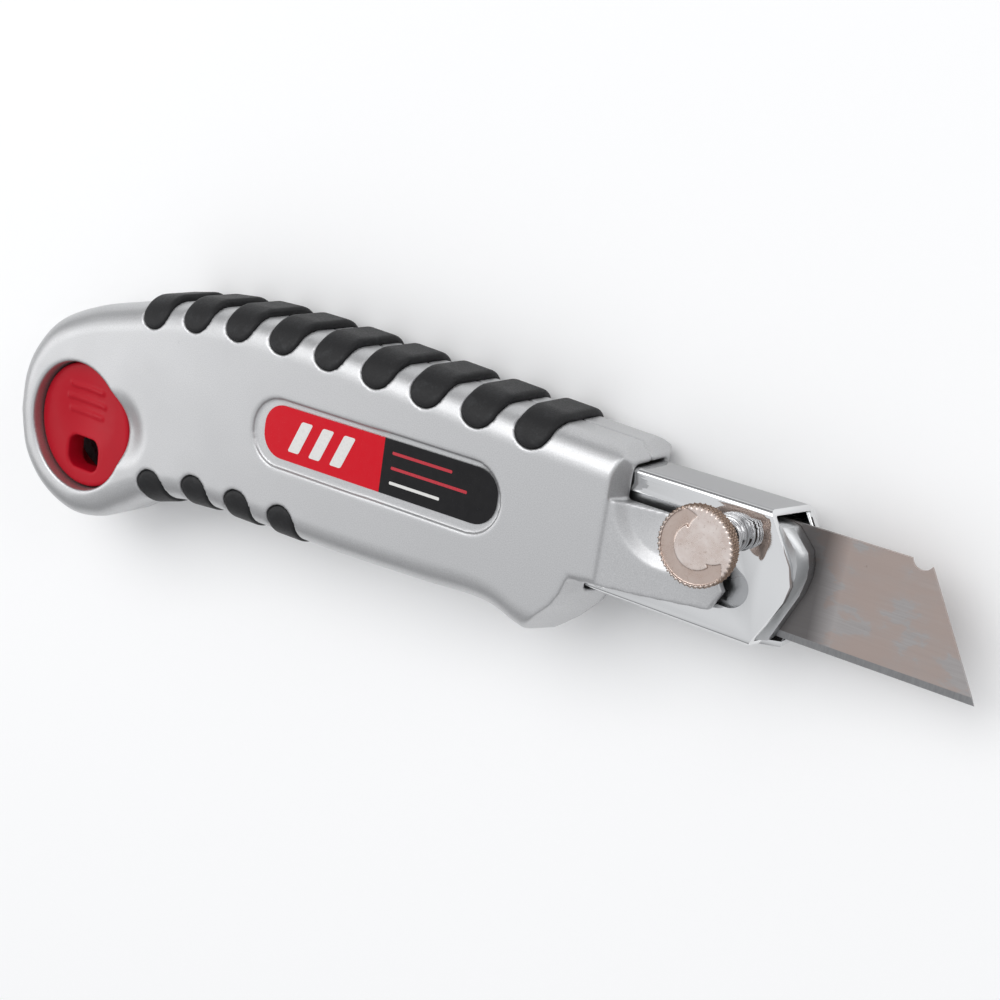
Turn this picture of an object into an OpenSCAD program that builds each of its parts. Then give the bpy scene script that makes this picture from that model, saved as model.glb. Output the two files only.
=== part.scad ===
// Heavy-duty utility knife with a sliding nose, lock knob, blade magazine and release button.
// Millimetres. +X points to the blade tip, +Y to the spine, +Z up from the side it lies on.
// Shapes are laid out from the blade tip (x = 0), the blade's middle height (y = 0) and the
// blade's plane (z = 0), then moved so that the origin is under the middle of the whole knife.

/* [View] */
// Which node to draw, or "all"

/* [Handle] */
// Half of the handle's thickness
half_t = 10; // [9.6:0.1:10.4]
// Radius of the handle's rounded edges
edge_r = 5.5; // [5:0.1:6]
// How far the spine pads stand above the spine
spine_proud = 1.4; // [1:0.1:1.4]
// How far the belly pads stand below the belly
belly_proud = 0.85; // [0.7:0.05:0.85]
// Width of one spine pad along the handle
spine_pad_w = 7.0; // [6:0.2:7.4]
// Width of one belly pad along the handle
belly_pad_w = 7.0; // [5:0.2:7.2]
// Depth of the sticker's recess
label_depth = 0.6; // [0.4:0.1:0.8]

/* [Nose] */
// Wall of the bent sheet-steel sleeve
sleeve_wall = 0.9; // [0.7:0.1:0.9]
// How far the nose can slide back into the handle
nose_travel = 5.5; // [3:0.5:5.5]
// Clearance between the sleeve and the handle, each side
slide_gap = 0.3; // [0.2:0.05:0.3]

/* [Blade] */
// Height of the blade from cutting edge to back
blade_h = 19; // [18:0.5:19]
// Thickness of one blade
blade_t = 0.6; // [0.5:0.05:0.6]
// Length of the cutting edge
blade_len = 61; // [58:0.5:61]
// Height of the ground bevel
bevel_h = 1.25; // [1:0.05:2]

/* [Lock knob] */
// Diameter of the knurled head
knob_d = 13.2; // [12:0.2:13.4]
// Thickness of the knurled head
knob_t = 2.3; // [2:0.1:2.6]
// Number of knurls round the head
knurls = 40; // [30:1:48]
// Distance the screw moves in to clamp the blade
lock_travel = 2.1; // [1.4:0.1:2.1]

/* [Release button] */
// Diameter of the round pocket in the tail
pocket_d = 26.2; // [25.6:0.2:26.6]
// How far the button's face sits below the handle's side
face_recess = 2.3; // [2:0.1:2.6]
// Depth of the pocket's floor below the handle's joint plane
pocket_floor = 5; // [4.6:0.1:5.2]

/* [Hidden] */
$fn = 48;

// Where the layout's zero point sits in the finished frame
shift = [101.95, 7.3, half_t];

silver = [0.80, 0.81, 0.82];
dark_rubber = [0.16, 0.16, 0.17];
red_plastic = [0.78, 0.10, 0.17];
chrome_steel = [0.86, 0.87, 0.88];
cast_grey = [0.62, 0.63, 0.64];
blade_steel = [0.60, 0.58, 0.56];
tarnished = [0.78, 0.70, 0.66];
spring_steel = [0.55, 0.56, 0.58];

// Key points of the handle's side outline, front to tail, ahead of the cut front face
spine_key = [[-42, 13.8], [-60, 14.7], [-76, 15.4], [-92, 16.3], [-108, 17.2], [-124, 18.0],
    [-138, 18.2], [-150, 17.7], [-162, 16.2], [-174, 13.5], [-185, 10.3], [-194.5, 5.7],
    [-200.3, -0.6], [-203.2, -7.3], [-203.9, -15.2]];
belly_key = [[-42, -20.5], [-60, -22.0], [-74, -21.5], [-83, -19.3], [-97, -20.0],
    [-115, -20.8], [-135, -21.1], [-152, -21.7], [-164, -24.4], [-172, -28.8],
    [-179, -32.6], [-187, -33.7], [-195.6, -30.5], [-201.6, -23.9], [-203.9, -15.2]];

// Release button, sleeve, window, knob and pad positions
button_c = [-184, -14];
scoop_c = [-172, -11.4];
eyelet_c = [-184, -20.1];
sleeve_top = 11.45;
sleeve_bot = -10.95;
sleeve_hw = 5.17;
sleeve_rear = -132;
screw_c = [-41.2, 5.9];
knob_back = 14.9;
// How far the pads are set into the handle, and how far their ends stop short of its sides
pad_sink = 1.2;
pad_short = 0.05;
// How far the pads' pockets are cut past the handle's sides, so that they are open
pocket_over = -0.5;
pad_pitch = 11.03;
spine_pad_x = -165.4;
belly_pitch = 11.1;
belly_pad_x = -161.5;
label_c = [-108.9, -1.0];
screw_spots = [[-77, -15.6], [-112, -15.4], [-147, 9.6], [-146.1, -13]];
rivet_spots = [[-62.5, 9.6], [-62.5, -8.9]];
lever_x = -155;
hook_x = -128.6;
stack_rear = -121.5;

// Smooth curve through key points: point at parameter u from 0 to 1
function at(k, i) = k[max(0, min(len(k) - 1, i))];
function bend(a, b, c, d, t) = 0.5 * (2 * b + (c - a) * t + (2 * a - 5 * b + 4 * c - d) * t * t
    + (3 * b - a - 3 * c + d) * t * t * t);
function seg(k, s, i) = bend(at(k, i - 1), at(k, i), at(k, i + 1), at(k, i + 2), s - i);
function curve(k, u) = let(s = u * (len(k) - 1), i = min(floor(s), len(k) - 2)) seg(k, s, i);
// Height of a curve above a given x, by halving
function y_over(k, x, lo = 0, hi = 1, n = 18) = n == 0 ? curve(k, (lo + hi) / 2)[1]
    : let(m = (lo + hi) / 2) curve(k, m)[0] > x ? y_over(k, x, m, hi, n - 1)
    : y_over(k, x, lo, m, n - 1);
function unit(v) = v / norm(v);

// Closed outline of the handle: spine to the tail, then back along the belly
steps = 44;
outline = concat([for (i = [0 : steps]) curve(spine_key, i / steps)],
    [for (i = [steps - 1 : -1 : 0]) curve(belly_key, i / steps)]);
count = len(outline);
// Inward mitre direction at each outline point
mitre = [for (i = [0 : count - 1])
    let(p = outline[(i + count - 1) % count], q = outline[i], r = outline[(i + 1) % count],
        a = unit(q - p), b = unit(r - q), na = [-a[1], a[0]], nb = [-b[1], b[0]])
    (na + nb) / (1 + na * nb)];

// Half of the handle, from the joint plane out to its side, with its outer edge rounded
module half_body(side) {
    // Inset and height of each ring of points: the first lies in the joint plane
    section = concat([[0, 0]], [for (f = [0 : 15 : 90])
        [edge_r * (1 - cos(f)), half_t - edge_r * (1 - sin(f))]]);
    rings = len(section) - 1;
    pts = [for (q = section) for (i = [0 : count - 1])
        let(p = outline[i] + q[0] * mitre[i]) [p[0], p[1], side * q[1]]];
    walls = [for (k = [0 : rings - 1]) for (i = [0 : count - 1])
        let(j = (i + 1) % count, a = k * count + i, b = k * count + j)
        [a, b, b + count, a + count]];
    // Each cap is a ladder of strips between the spine run and the belly run
    cap = [for (i = [0 : steps - 1]) i == steps - 1 ? [i, i + 1, i + 2]
        : [i, i + 1, count - i - 2, count - i - 1]];
    lower = [for (f = cap) [for (n = [len(f) - 1 : -1 : 0]) f[n]]];
    upper = [for (f = cap) [for (v = f) v + rings * count]];
    faces = concat(walls, lower, upper);
    flipped = [for (f = faces) [for (n = [len(f) - 1 : -1 : 0]) f[n]]];
    polyhedron(points = pts, faces = side > 0 ? flipped : faces, convexity = 8);
}

module placed() {
    translate(shift) children();
}

// Rectangle with true round corners, centred
module rrect(w, h, r) {
    square([w - 2 * r, h], center = true);
    square([w, h - 2 * r], center = true);
    for (x = [-1, 1], y = [-1, 1]) translate([x * (w / 2 - r), y * (h / 2 - r)]) circle(r);
}

// Capsule shape, centred, long along X
module capsule(w, h) {
    square([w - h, h], center = true);
    for (x = [-1, 1]) translate([x * (w - h) / 2, 0]) circle(h / 2);
}

// Bar along X with the cross-section given in Y and Z
module along_x(x0, x1) {
    translate([x0, 0, 0]) rotate([90, 0, 90]) linear_extrude(x1 - x0) children();
}

// Round wire wound into a coil round Z, with its end turns closed up
module coil(r, wire, z0, z1, turns) {
    around = 16;
    ring = 6;
    n = round(turns * around);
    h = z1 - z0 - wire;
    pts = [for (i = [0 : n]) let(a = 360 * i / around, m = 0.7 * around,
            e = i < m ? i * 0.25 : i > n - m ? n - m + (i - n + m) * 0.25 - m * 0.75
                : i - m * 0.75,
            z = z0 + wire / 2 + h * e / (n - m * 1.5))
        for (j = [0 : ring - 1]) let(b = 360 * j / ring, q = r + wire / 2 * cos(b))
            [q * cos(a), q * sin(a), z + wire / 2 * sin(b)]];
    skin = [for (i = [0 : n - 1]) for (j = [0 : ring - 1])
        let(a = i * ring + j, b = i * ring + (j + 1) % ring)
        [a, b, b + ring, a + ring]];
    ends = [[for (j = [ring - 1 : -1 : 0]) j], [for (j = [0 : ring - 1]) n * ring + j]];
    faces = [for (f = concat(skin, ends)) [for (k = [len(f) - 1 : -1 : 0]) f[k]]];
    polyhedron(points = pts, faces = faces, convexity = 10);
}

// ---- Shapes shared by more than one node ----

// Everything in front of the handle: a flat face across the middle, leaning back to each side
module front_cut() {
    translate([0, 0, -20]) linear_extrude(40) polygon([[-64.4, 20], [-63.4, 16.4], [-59.4, 12.5],
        [-59.4, -9], [-62.3, -9.5], [-62.8, -12], [-64.1, -14.4], [-67.8, -18.4],
        [-72.4, -22.2], [-73.2, -26], [-20, -26], [-20, 20]]);
    for (side = [-1, 1]) translate([-61.2, 0, side * half_t]) rotate([0, -24 * side, 0])
        translate([0, 0, -20]) linear_extrude(40) polygon([[0, 20], [0, -7.6], [-4.4, -8.2],
            [-5.5, -12], [-6.7, -14.4], [-10.1, -18.4], [-14.3, -22.2], [-15, -26], [30, -26],
            [30, 20]]);
}

// Everything ahead of the sleeve's slanted front edge
module nose_cut(lead) {
    translate([-35.2 + lead, 0, sleeve_hw]) rotate([0, -13, 0]) translate([0, 0, -20])
        linear_extrude(40) {
            polygon([[0.4, 12.6], [-0.3, 11.5], [4.4, 3.6], [5.2, 0.6], [4.6, -2.2],
                [0.2, -11.2], [-0.4, -12.6], [20, -12.6], [20, 12.6]]);
        }
}

// Space the sleeve slides in
module channel() {
    h = sleeve_top - sleeve_bot + 2 * slide_gap;
    along_x(sleeve_rear - nose_travel - 1.2, -20)
        translate([(sleeve_top + sleeve_bot) / 2, 0])
            rrect(h, 2 * (sleeve_hw + slide_gap), 1.3);
}

// Rubber strip bent over the spine (dir 1) or under the belly (dir -1), its line at y = 0
module pad_band(dir, width, proud, short) {
    depth = 16;
    translate([-width / 2, 0, 0]) rotate([90, 0, 90]) linear_extrude(width) difference() {
        translate([dir * (proud - depth), 0])
            rrect(2 * depth, 2 * (half_t - short), edge_r + 0.9);
        translate([-dir * (pad_sink + depth), 0])
            rrect(2 * depth, 2 * (half_t - pad_sink), edge_r - pad_sink);
    }
}

// One pad: the band, trimmed to a round-ended shape in side view
module pad(dir, width, proud, drop, lean, short) {
    intersection() {
        pad_band(dir, width, proud, short);
        linear_extrude(40, center = true) rotate([0, 0, lean]) {
            translate([-width / 2, dir > 0 ? -drop + width / 2 : -14])
                square([width, drop + 14 - width / 2]);
            translate([0, dir * (width / 2 - drop)]) circle(width / 2);
        }
    }
}

module spine_pads(short) {
    for (i = [0 : 8]) {
        x = spine_pad_x + i * pad_pitch;
        y = y_over(spine_key, x);
        tilt = atan2(y_over(spine_key, x + 2) - y_over(spine_key, x - 2), 4);
        translate([x, y, 0]) rotate([0, 0, tilt])
            pad(1, spine_pad_w, spine_proud, 5.1, -6, short);
    }
}

module belly_pads(short) {
    for (i = [0 : 3]) {
        x = belly_pad_x + i * belly_pitch;
        y = y_over(belly_key, x);
        tilt = atan2(y_over(belly_key, x + 2) - y_over(belly_key, x - 2), 4);
        translate([x, y, 0]) rotate([0, 0, tilt])
            pad(-1, belly_pad_w, belly_proud, 6.4, 0, short);
    }
}

// Round-ended opening through the button and the handle for a wrist cord
module eyelet(w, h) {
    translate([eyelet_c[0], eyelet_c[1], -20]) linear_extrude(40) rrect(w, h, 2.2);
}

// Space the latch lever swings in, reaching under the button
module lever_space() {
    translate([-174.6, -9.6, -6.2]) cube([37.1, 6.8, 9.4]);
}

// Cored pockets that keep the casting's walls even
module cores() {
    translate([-128, -8.2, -7.4]) cube([58, 16.6, 14.8]);
    translate([-107, -17.8, -7]) cube([25, 4.6, 14]);
    translate([-141, -18.4, -6.4]) cube([24, 5, 12.8]);
    translate([-167, 0, -7]) cube([15, 9, 14]);
}

module screw_holes(r, z0, z1) {
    for (p = screw_spots) translate([p[0], p[1], z0]) cylinder(r = r, h = z1 - z0);
}

// Trapezoid of one blade with its two notches
module blade_outline(x_tip) {
    run = blade_h / tan(60);
    difference() {
        polygon([[x_tip, -blade_h / 2], [x_tip - run, blade_h / 2],
            [x_tip - blade_len + run, blade_h / 2], [x_tip - blade_len, -blade_h / 2]]);
        for (x = [x_tip - run - 1.3, x_tip - blade_len + run + 1.3])
            translate([x, blade_h / 2 + 0.3]) circle(1.75);
    }
}

// One blade with its cutting edge ground from both sides
module blade(x_tip, z_mid) {
    intersection() {
        translate([0, 0, z_mid - blade_t]) linear_extrude(2 * blade_t) blade_outline(x_tip);
        along_x(x_tip - blade_len - 1, x_tip + 1) translate([0, z_mid])
            polygon([[-blade_h / 2, 0.03], [-blade_h / 2 + bevel_h, blade_t / 2],
                [blade_h / 2 + 1, blade_t / 2], [blade_h / 2 + 1, -blade_t / 2],
                [-blade_h / 2 + bevel_h, -blade_t / 2], [-blade_h / 2, -0.03]]);
    }
}

// ---- Handle ----

// Arm of the left half that reaches forward beside the sleeve
module tongue() {
    difference() {
        intersection() {
            translate([0, 0, sleeve_hw + slide_gap])
                linear_extrude(half_t - sleeve_hw - slide_gap)
                polygon([[-72, -8.9], [-66, -8.8], [-61.7, -8.5], [-53.3, -7.9], [-41.5, -6.7],
                    [-39.8, -3.2], [-40.8, -1.6], [-50.6, 6.3], [-72, 6.3]]);
            // Outer face leans in toward the tip
            translate([-66, 0, half_t]) rotate([0, 6.2, 0]) translate([-8, -20, -20])
                cube([50, 40, 20]);
        }
        // Shallow dish that gives the knob room when the nose slides back
        translate([-50.6, 7.2, 7.1]) rotate([0, 9, 0]) cylinder(h = 8, r1 = 8.2, r2 = 9.8);
        // Slot for the knob's screw and spring
        translate([screw_c[0] - nose_travel, screw_c[1], 0]) cylinder(r = 3.3, h = 20);
        translate([screw_c[0] - nose_travel, screw_c[1] - 3.3, 0]) cube([20, 20, 20]);
    }
}

module left_housing() {
    color(silver) placed() {
        difference() {
            half_body(1);
            front_cut();
            channel();
            spine_pads(pocket_over);
            belly_pads(pocket_over);
            translate([label_c[0], label_c[1], half_t - label_depth]) rotate([0, 0, 0.8])
                linear_extrude(4) capsule(56.4, 13.3);
            // Button pocket with a wider step that keeps the button in
            translate([button_c[0], button_c[1], -1]) cylinder(d = pocket_d, h = 20);
            translate([button_c[0], button_c[1], -1]) cylinder(d = pocket_d + 2.8, h = 4.1);
            // Fingertip scoop beside the button
            translate([scoop_c[0], scoop_c[1], half_t + 9.9]) sphere(11.7, $fn = 64);
            lever_space();
            cores();
            screw_holes(1.5, -1, 5.2);
        }
        tongue();
    }
}

module right_housing() {
    color(silver) placed() difference() {
        half_body(-1);
        front_cut();
        channel();
        spine_pads(pocket_over);
        belly_pads(pocket_over);
        translate([button_c[0], button_c[1], -pocket_floor]) cylinder(d = pocket_d + 2.8, h = 20);
        eyelet(9.3, 7.4);
        lever_space();
        cores();
        translate([lever_x, -12, -2]) rotate([-90, 0, 0]) cylinder(r = 1.25, h = 11.6);
        screw_holes(1.65, -20, 1);
        screw_holes(3.0, -20, -5.5);
    }
}

module housing_screws() {
    color(spring_steel) placed() for (p = screw_spots) translate([p[0], p[1], 0]) difference() {
        union() {
            translate([0, 0, -7.5]) cylinder(r = 2.7, h = 2);
            translate([0, 0, -5.6]) cylinder(r = 1.5, h = 10.6);
        }
        translate([0, 0, -8]) {
            for (a = [0, 90]) rotate([0, 0, a]) translate([-1.5, -0.35, 0]) cube([3, 0.7, 1.7]);
        }
    }
}

module spine_grips() {
    color(dark_rubber) placed() spine_pads(pad_short);
}

module belly_grips() {
    color(dark_rubber) placed() belly_pads(pad_short);
}

module label_sticker() {
    color(red_plastic) placed()
        translate([-108.0, -0.6, half_t - label_depth]) rotate([0, 0, 0.8])
            linear_extrude(0.25) rrect(52.4, 10.0, 4.4);
}

// ---- Release button and latch ----

module release_button() {
    top = half_t - face_recess;
    color(red_plastic) placed() difference() {
        translate([button_c[0], button_c[1], 0]) {
            difference() {
                union() {
                    cylinder(d = pocket_d - 0.6, h = top, $fn = 96);
                    cylinder(d = pocket_d + 2.2, h = 3);
                }
                // Hollow underside
                translate([0, 0, -1]) cylinder(r = 11.2, h = top - 1.2);
                // Shallow thumb dish in the face
                translate([0, 3, top + 33.4]) sphere(34.2, $fn = 96);
            }
            // Post the spring sits round, tied to the face
            translate([0, 4.6, 0.8]) cylinder(r = 2.2, h = top - 1.8);
            // Wall round the cord opening
            translate([eyelet_c[0] - button_c[0], eyelet_c[1] - button_c[1], 0.4])
                linear_extrude(top - 1.4) rrect(10.6, 8.6, 2.8);
        }
        eyelet(8.6, 6.6);
    }
}

module button_spring() {
    color(spring_steel) placed() translate([button_c[0], button_c[1] + 4.6, 0])
        coil(3.6, 0.7, -pocket_floor, half_t - face_recess - 2.2, 5);
}

module latch_lever() {
    color(spring_steel) placed() difference() {
        union() {
            // Flat bar from under the button to the sleeve
            translate([-173, -9, -2.6]) cube([45, 5.6, 1.2]);
            // Barrel round the pivot pin
            translate([lever_x, -9, -2]) rotate([-90, 0, 0]) cylinder(r = 2.2, h = 5.6);
            // Hook that stops the sleeve
            translate([hook_x, -9, -4.95]) cube([1.2, 5.6, 3]);
            // Raised heel under the button's rim
            translate([-173, -9, -2.6]) cube([2.4, 5.6, 2.5]);
        }
        translate([lever_x, -20, -2]) rotate([-90, 0, 0]) cylinder(r = 1.3, h = 30);
    }
}

module latch_pin() {
    color(spring_steel) placed() translate([lever_x, -12, -2]) rotate([-90, 0, 0])
        cylinder(r = 1.25, h = 11.6);
}

// ---- Nose ----

module window() {
    translate([0, 0, 2]) linear_extrude(10) {
        polygon([[-72, 7.7], [-49.6, 7.7], [-40.2, 1.7], [-38.1, 0.3], [-39.6, -5.9],
            [-72, -5.9]]);
        translate([-39.6, -2.6]) circle(3.3);
    }
}

module sleeve_tube(x0) {
    h = sleeve_top - sleeve_bot;
    along_x(x0, -25) translate([(sleeve_top + sleeve_bot) / 2, 0]) difference() {
        rrect(h, 2 * sleeve_hw, 1.1);
        rrect(h - 2 * sleeve_wall, 2 * (sleeve_hw - sleeve_wall), 0.3);
    }
}

module blade_sleeve() {
    color(chrome_steel) placed() {
        // Bottom wall, which reaches further forward than the side
        intersection() {
            sleeve_tube(-42);
            translate([0, sleeve_bot - 1, 0]) rotate([-90, 0, 0]) linear_extrude(1.9)
                polygon([[-42, 6], [-31.7, 6], [-31.1, 4.4], [-31.2, -0.3], [-35.1, -2.6],
                    [-42, -2.6]]);
        }
        sleeve_body();
    }
}

module sleeve_body() {
    difference() {
        sleeve_tube(sleeve_rear);
        nose_cut(0);
        window();
        translate([screw_c[0], screw_c[1], 0]) cylinder(r = 2.3, h = 10);
        // Long slot in the right wall for the latch hook
        translate([hook_x - 0.2, -9.4, -8]) cube([nose_travel + 2.0, 6.4, 6]);
        // Rivet holes through the left wall
        for (p = rivet_spots) translate([p[0], p[1], 0]) cylinder(r = 1.2, h = 10);
    }
}

module sleeve_liner() {
    color(chrome_steel) placed() difference() {
        along_x(-66, -25)
            translate([(sleeve_top + sleeve_bot) / 2, -(sleeve_hw - sleeve_wall - 0.35)])
                square([20.2, 0.6], center = true);
        nose_cut(-0.3);
    }
}

// Outline of the guide in side view, its front grown forward by e
module guide_plan(e) {
    polygon([[-66, 10.4], [-44, 10.4], [-34.8 + e, 9.4], [-33.4 + e, 9.1], [-30.5 + 1.1 * e, 6],
        [-29.8 + e, 3.9], [-29.7 + e, 2], [-30.3 + e, -1], [-33.9 + e, -9.7], [-66, -9.7]]);
}

module blade_guide() {
    top = sleeve_hw - sleeve_wall;
    color(cast_grey) placed() difference() {
        hull() {
            translate([0, 0, 0.4]) linear_extrude(2.4) guide_plan(1.35);
            translate([0, 0, top - 0.1]) linear_extrude(0.05) guide_plan(0);
        }
        // Clearance over the carrier's path
        translate([-70, -7.2, 0]) cube([24, 14.6, 2.1]);
        // Threaded hole for the lock screw
        translate([screw_c[0], screw_c[1], 0]) cylinder(r = 2.05, h = 10);
        for (p = rivet_spots) translate([p[0], p[1], 0]) cylinder(r = 1.0, h = 10);
        // Step seen through the window
        translate([-66, -5.2, 2.9]) cube([26, 9.2, 4]);
    }
}

module guide_rivets() {
    color(chrome_steel) placed() for (p = rivet_spots) translate([p[0], p[1], 0.5]) {
        cylinder(r = 1.0, h = sleeve_hw - 0.6);
        translate([0, 0, sleeve_hw - 0.5 - sleeve_wall + 0.05]) cylinder(r = 1.18, h = 0.8);
    }
}

module active_blade() {
    color(blade_steel) placed() blade(0, 0);
}

module blade_carrier() {
    color(cast_grey) placed() {
        // Plate that rides beside the blade, behind the guide's step
        translate([-76, -6.6, 0.35]) cube([27, 13.4, 1.4]);
        translate([-76, -6.6, 0.35]) cube([9, 13.4, 3.5]);
        // Step behind the blade's rear edge
        translate([-76, -6.6, -0.25]) cube([12.6, 13.4, 0.7]);
    }
}

module spare_blades() {
    color(blade_steel) placed() for (i = [0 : 3])
        blade(stack_rear + blade_len, -0.45 - blade_t * (0.5 + i * 1.05));
}

module magazine_follower() {
    z = -0.45 - 4.25 * blade_t - 0.4;
    color(cast_grey) placed() translate([stack_rear + 9, -7.5, z]) cube([44, 15, 0.4]);
}

module magazine_spring() {
    top = -0.45 - 4.25 * blade_t - 0.45;
    low = -(sleeve_hw - sleeve_wall) + 0.03;
    r = 24;
    color(spring_steel) placed() intersection() {
        translate([stack_rear + 31, 0, top - r]) rotate([90, 0, 0]) difference() {
            cylinder(r = r, h = 8, center = true, $fn = 96);
            cylinder(r = r - 0.2, h = 10, center = true, $fn = 96);
        }
        translate([stack_rear, -10, low]) cube([80, 20, 10]);
    }
}

// ---- Lock knob ----

module lock_knob() {
    step = 360 / knurls;
    color(tarnished) placed() translate([screw_c[0], screw_c[1], knob_back]) difference() {
        union() {
            cylinder(d = knob_d, h = knob_t, $fn = 96);
            // Low ring round the middle of the face
            translate([0, 0, knob_t]) difference() {
                cylinder(r = 3.9, h = 0.15);
                translate([0, 0, -1]) cylinder(r = 3.5, h = 2);
            }
            translate([0, 0, knob_t]) difference() {
                cylinder(r = knob_d / 2 - 0.45, h = 0.15);
                translate([0, 0, -1]) cylinder(r = knob_d / 2 - 0.85, h = 2);
            }
        }
        // Knurls
        for (i = [0 : knurls - 1]) rotate([0, 0, i * step]) translate([knob_d / 2 + 0.22, 0, -1])
            rotate([0, 0, 45]) cube([0.7, 0.7, 10]);
        // Hole for the screw's end
        translate([0, 0, -1]) cylinder(r = 1.55, h = knob_t);
    }
}

module lock_screw() {
    color(spring_steel) placed() translate([screw_c[0], screw_c[1], 0]) {
        translate([0, 0, 0.45 + lock_travel])
            cylinder(r = 2.0, h = knob_back - 0.55 - lock_travel);
        translate([0, 0, knob_back - 0.2]) cylinder(r = 1.5, h = knob_t - 1);
    }
}

module spring_washer() {
    color(spring_steel) placed() translate([screw_c[0], screw_c[1], sleeve_hw + 0.02])
        difference() {
            cylinder(r = 3.0, h = 0.5);
            translate([0, 0, -1]) cylinder(r = 2.15, h = 3);
        }
}

module knob_spring() {
    color(spring_steel) placed() translate([screw_c[0], screw_c[1], 0])
        coil(2.65, 0.7, sleeve_hw + 0.53, knob_back - 0.02, 6);
}

left_housing();
right_housing();
housing_screws();
spine_grips();
belly_grips();
label_sticker();
release_button();
button_spring();
latch_lever();
latch_pin();
blade_sleeve();
sleeve_liner();
blade_guide();
guide_rivets();
active_blade();
blade_carrier();
spare_blades();
magazine_follower();
magazine_spring();
lock_knob();
lock_screw();
spring_washer();
knob_spring();
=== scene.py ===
import math

import bmesh
import bpy
import numpy as np
from mathutils import Matrix, Vector


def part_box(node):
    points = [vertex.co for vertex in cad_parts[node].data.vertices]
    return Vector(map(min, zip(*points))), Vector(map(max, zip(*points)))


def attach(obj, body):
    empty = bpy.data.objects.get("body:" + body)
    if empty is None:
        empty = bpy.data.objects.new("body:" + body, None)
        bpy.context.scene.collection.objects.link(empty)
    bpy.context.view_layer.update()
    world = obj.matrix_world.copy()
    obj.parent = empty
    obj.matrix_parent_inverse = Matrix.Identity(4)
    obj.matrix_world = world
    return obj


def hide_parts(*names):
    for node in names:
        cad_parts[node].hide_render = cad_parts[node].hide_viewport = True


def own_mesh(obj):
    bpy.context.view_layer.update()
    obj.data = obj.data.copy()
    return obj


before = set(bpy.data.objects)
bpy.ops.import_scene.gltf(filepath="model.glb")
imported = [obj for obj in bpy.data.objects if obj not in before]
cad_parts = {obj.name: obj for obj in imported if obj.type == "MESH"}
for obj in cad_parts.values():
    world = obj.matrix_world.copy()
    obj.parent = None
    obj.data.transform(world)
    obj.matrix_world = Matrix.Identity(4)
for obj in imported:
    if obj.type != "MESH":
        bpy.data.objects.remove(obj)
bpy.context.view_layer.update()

# ---------------------------------------------------------------- layout
# Shapes are laid out in millimetres from the blade tip, with y = 0 at the blade's middle
# height and z = 0 in the blade's plane. The blade's own box says where that is in the frame.
blade_lo, blade_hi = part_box("active_blade")
SHIFT = np.array([blade_hi.x, (blade_lo.y + blade_hi.y) / 2, (blade_lo.z + blade_hi.z) / 2])
HALF_T = 1000 * SHIFT[2]

SPINE = [(-42, 13.8), (-60, 14.7), (-76, 15.4), (-92, 16.3), (-108, 17.2), (-124, 18.0),
         (-138, 18.2), (-150, 17.7), (-162, 16.2), (-174, 13.5), (-185, 10.3), (-194.5, 5.7),
         (-200.3, -0.6), (-203.2, -7.3), (-203.9, -15.2)]
BELLY = [(-42, -20.5), (-60, -22.0), (-74, -21.5), (-83, -19.3), (-97, -20.0), (-115, -20.8),
         (-135, -21.1), (-152, -21.7), (-164, -24.4), (-172, -28.8), (-179, -32.6),
         (-187, -33.7), (-195.6, -30.5), (-201.6, -23.9), (-203.9, -15.2)]
# Radius of the rounded edge between the handle's sides and its walls
EDGE_R = 5.5
# Middles of the button, its cord opening, the lock screw, the label's recess and the sticker
BUTTON = np.array([-184.0, -14.0])
EYELET = np.array([-184.0, -20.1])
SCREW = np.array([-41.2, 5.9])
LABEL = np.array([-108.9, -1.0])
STICKER = np.array([-108.0, -0.6])
# Turn of the label and its sticker, in degrees, and how deep the recess and the sticker's back lie
LABEL_TURN = 0.8
RECESS_DEPTH = 0.62
STICKER_DEPTH = 0.6
# Middles of the four screws that hold the halves together
SCREWS = [(-77, -15.6), (-112, -15.4), (-147, 9.6), (-146.1, -13)]
# Height of the knob's back and of its face above it
KNOB_BACK = 14.9
KNOB_HEIGHT = 2.3
# Height of the floor of the knob's sunk band above its back
BAND_FLOOR = 1.92


def curve(keys, u):
    """Point on the smooth curve through keys, at u from 0 to 1."""
    s = np.clip(u, 0, 1) * (len(keys) - 1)
    i = np.minimum(np.floor(s).astype(int), len(keys) - 2)
    t = (s - i)[:, None]
    k = np.array(keys, float)
    a, b, c, d = (k[np.clip(i + o, 0, len(k) - 1)] for o in (-1, 0, 1, 2))
    return 0.5 * (2 * b + (c - a) * t + (2 * a - 5 * b + 4 * c - d) * t * t
                  + (3 * b - a - 3 * c + d) * t ** 3)


def curve_y(keys, x):
    """Height of the curve through keys at x."""
    p = curve(keys, np.linspace(0, 1, 1500))
    return float(np.interp(-x, -p[:, 0], p[:, 1]))


OUTLINE = np.vstack([curve(SPINE, np.linspace(0, 1, 260)),
                     curve(BELLY, np.linspace(1, 0, 260))[1:]])

# ---------------------------------------------------------------- distance fields


def smax(a, b, k):
    """The larger of two distances, with the edge between them rounded over about k."""
    h = np.clip(0.5 - 0.5 * (b - a) / k, 0, 1)
    return b * (1 - h) + a * h + k * h * (1 - h)


def smin(a, b, k):
    """The smaller of two distances, with the corner between them filled over about k."""
    return -smax(-a, -b, k)


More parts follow.
